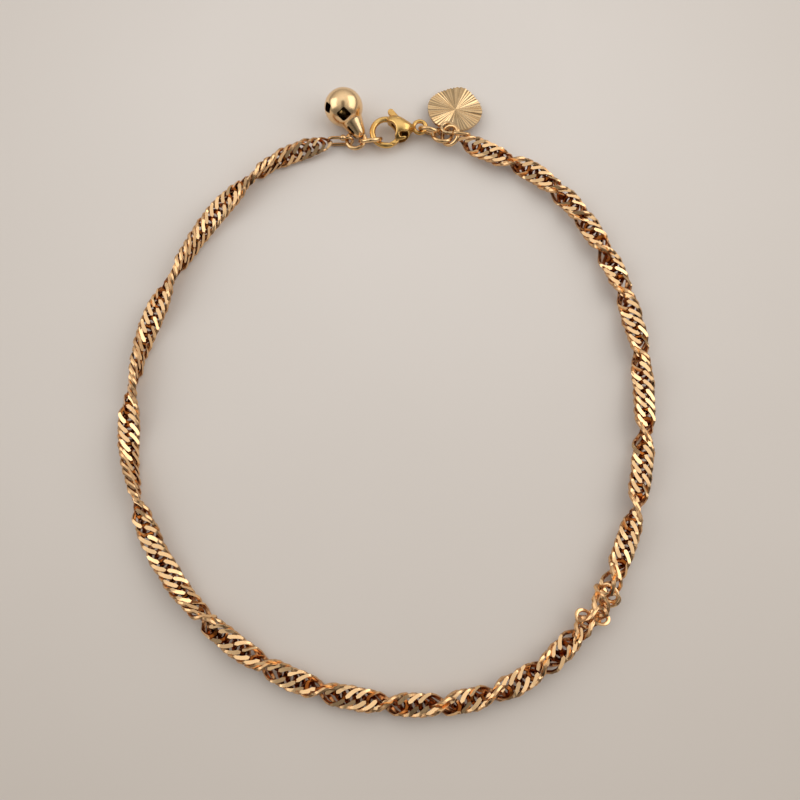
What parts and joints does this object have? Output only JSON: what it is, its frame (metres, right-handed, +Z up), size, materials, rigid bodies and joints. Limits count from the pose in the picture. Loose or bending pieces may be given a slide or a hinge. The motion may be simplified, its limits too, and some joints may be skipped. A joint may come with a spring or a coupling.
{
  "type": "chain anklet",
  "caption": "Gold-coloured double curb chain anklet lying closed in a loop, with a lobster clasp, a sunburst heart charm and a pierced round bell.",
  "frame": {"origin": "on the table, under the middle of the outer box of the closed loop", "axes": "+Z up off the table the chain lies on, +Y from the loop's middle towards the clasp, +X towards the heart charm's side"},
  "size_m": [0.0776, 0.0961, 0.006],
  "materials": {
    "chain_gold": "polished, flat diamond-cut faces, warm gold plating on brass",
    "ring_gold": "polished round wire, warm gold plating on brass",
    "satin_gold": "satin casting, yellower gold plating on brass",
    "cut_gold": "bright engine-cut sunburst, gold plating on brass",
    "charm_gold": "polished, warm gold plating on brass"
  },
  "bodies": {
    "anklet": {"chain": "chain_gold", "chain_end_link": "ring_gold", "chain_end_ring": "ring_gold", "clasp_ring": "ring_gold", "clasp_hook": "satin_gold", "lever_pin": "satin_gold", "eye_ring": "ring_gold", "middle_ring": "ring_gold", "charm_ring": "ring_gold", "chain_start_link": "ring_gold", "heart_charm": "cut_gold", "bell_shell": "charm_gold", "bell_pellet": "charm_gold"},
    "lever": {"clasp_lever": "satin_gold"}
  },
  "joints": [
    {"name": "clasp_lever_pivot", "type": "hinge", "parent": "anklet", "child": "lever", "pos_m": [0.00175, 0.04085, 0.00169], "axis": [-0.0254, 0.1368, -0.9903], "range_deg": [0, 16], "stiffness_Nm_per_rad": 0.004, "springref_deg": -5.73}
  ]
}
